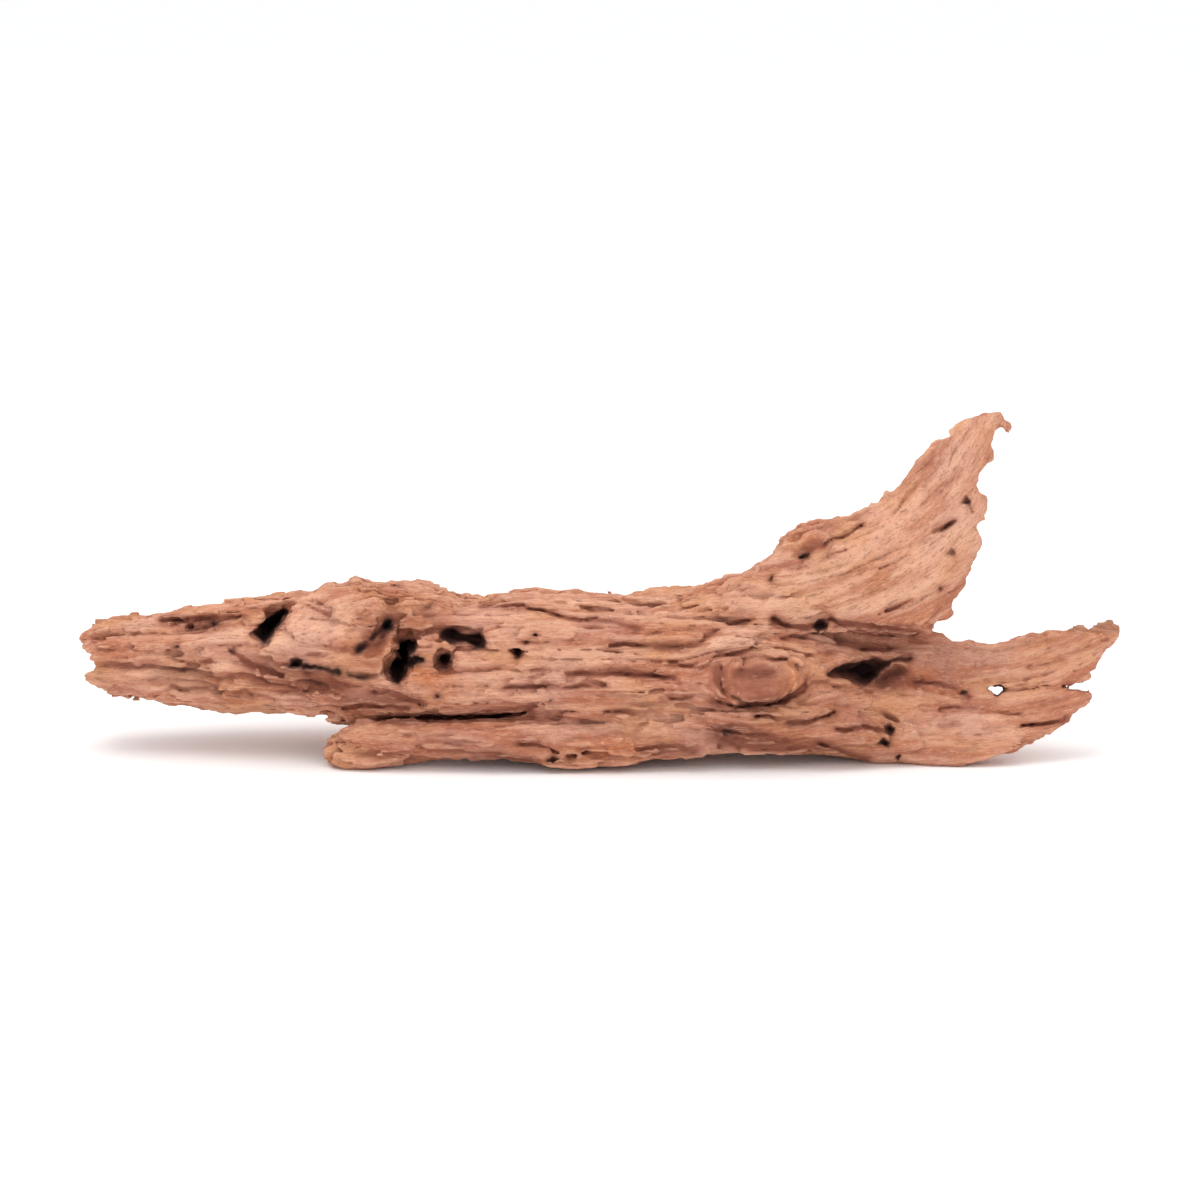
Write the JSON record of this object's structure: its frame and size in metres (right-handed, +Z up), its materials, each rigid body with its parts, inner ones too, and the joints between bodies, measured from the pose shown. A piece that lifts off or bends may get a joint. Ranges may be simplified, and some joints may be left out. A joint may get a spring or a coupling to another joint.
{
  "type": "driftwood branch",
  "caption": "Weathered driftwood trunk lying along its length, hollowed and knotted, with a low prong in front and broken plates of wood forking at one end; a decoration that rests on a surface",
  "frame": {"origin": "on the ground, under the middle of the piece's bounding box", "axes": "+X along the wood from the splintered end to the forked end, +Z up, the prong and the knot face -Y"},
  "size_m": [0.408, 0.0802, 0.1353],
  "materials": {
    "weathered_wood": "bare weathered wood, dry and matte, reddish brown with pale ridges and dark cracks"
  },
  "bodies": {
    "root": {"driftwood": "weathered_wood"}
  },
  "joints": []
}
